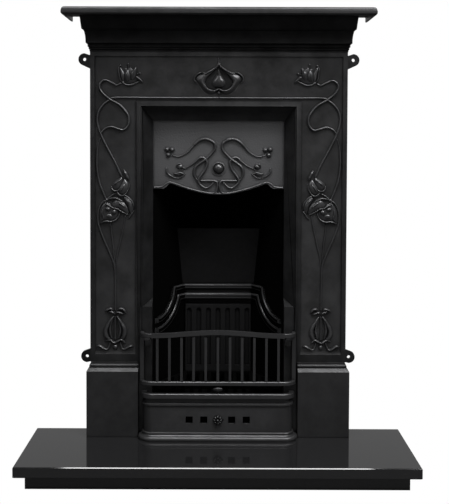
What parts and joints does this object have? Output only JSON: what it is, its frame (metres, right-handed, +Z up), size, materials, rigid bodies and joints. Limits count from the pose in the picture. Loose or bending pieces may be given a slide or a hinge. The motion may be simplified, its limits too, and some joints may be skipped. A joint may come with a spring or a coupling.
{
  "type": "cast iron fireplace",
  "caption": "Cast iron combination fireplace with a moulded mantel shelf, floral pilasters, a hooded fire opening, lift-off front bars and an ash cover, on a boxed black granite hearth.",
  "frame": {"origin": "on the floor, under the middle of the object's box", "axes": "+X to the viewer's right, -Y out into the room, +Z up; the wall's face is the plane y = 0.080"},
  "size_m": [1.005, 0.4506, 1.21],
  "materials": {
    "black_iron": "black graphite polish on cast iron, satin, with a fine sand-cast grain",
    "firebox_iron": "matt black cast iron inside the firebox",
    "dark_steel": "blackened steel",
    "pan_steel": "black enamelled sheet steel",
    "black_granite": "polished black granite, opaque"
  },
  "bodies": {
    "surround": {"hearth_slab": "black_granite", "hearth_front_strip": "black_granite", "hearth_side_strips": "black_granite", "hearth_back_strip": "black_granite", "front_casting": "black_iron", "plinth_left": "black_iron", "plinth_right": "black_iron", "plinth_bolts": "dark_steel", "plinth_nuts": "dark_steel", "cornice": "black_iron", "cornice_bolts": "dark_steel", "cornice_nuts": "dark_steel", "mantel_shelf": "black_iron", "shelf_screws": "dark_steel", "canopy": "black_iron", "canopy_screws": "dark_steel", "cheek_left": "firebox_iron", "cheek_right": "firebox_iron", "cheek_screws": "dark_steel", "fireback": "firebox_iron", "fireback_bolts": "dark_steel", "fireback_nuts": "dark_steel", "liner_left": "firebox_iron", "liner_right": "firebox_iron", "grate_bearers": "firebox_iron", "back_rail": "firebox_iron", "ribbed_plate": "firebox_iron", "smoke_shelf": "firebox_iron", "throat_plate": "firebox_iron", "throat_bolts": "dark_steel", "throat_nuts": "dark_steel", "damper_rod": "dark_steel"},
    "front_bars": {"front_bars": "black_iron"},
    "ash_cover": {"ash_cover": "black_iron", "lifting_knob": "black_iron", "slide_guides": "dark_steel"},
    "air_slide": {"air_slide": "dark_steel", "rosette_knob": "black_iron"},
    "ash_pan": {"ash_pan": "pan_steel"},
    "bottom_grate": {"bottom_grate": "firebox_iron"},
    "damper": {"damper_flap": "firebox_iron"}
  },
  "joints": [
    {"name": "bars_lift", "type": "slide", "parent": "surround", "child": "front_bars", "axis": [0, 0, 1], "range_m": [0, 0.025]},
    {"name": "cover_pull", "type": "slide", "parent": "surround", "child": "ash_cover", "axis": [0, -1, 0], "range_m": [0, 0.15]},
    {"name": "vent_slide", "type": "slide", "parent": "ash_cover", "child": "air_slide", "axis": [1, 0, 0], "range_m": [0, 0.012]},
    {"name": "pan_pull", "type": "slide", "parent": "surround", "child": "ash_pan", "axis": [0, -1, 0], "range_m": [0, 0.12]},
    {"name": "grate_lift", "type": "slide", "parent": "surround", "child": "bottom_grate", "axis": [0, 0, 1], "range_m": [0, 0.02]},
    {"name": "damper_swing", "type": "hinge", "parent": "surround", "child": "damper", "pos_m": [0, 0.201, 0.769], "axis": [-1, 0, 0], "range_deg": [0, 70]}
  ],
  "couplings": [
    {"joint": "pan_pull", "follows": "cover_pull", "ratio": 0.8}
  ]
}
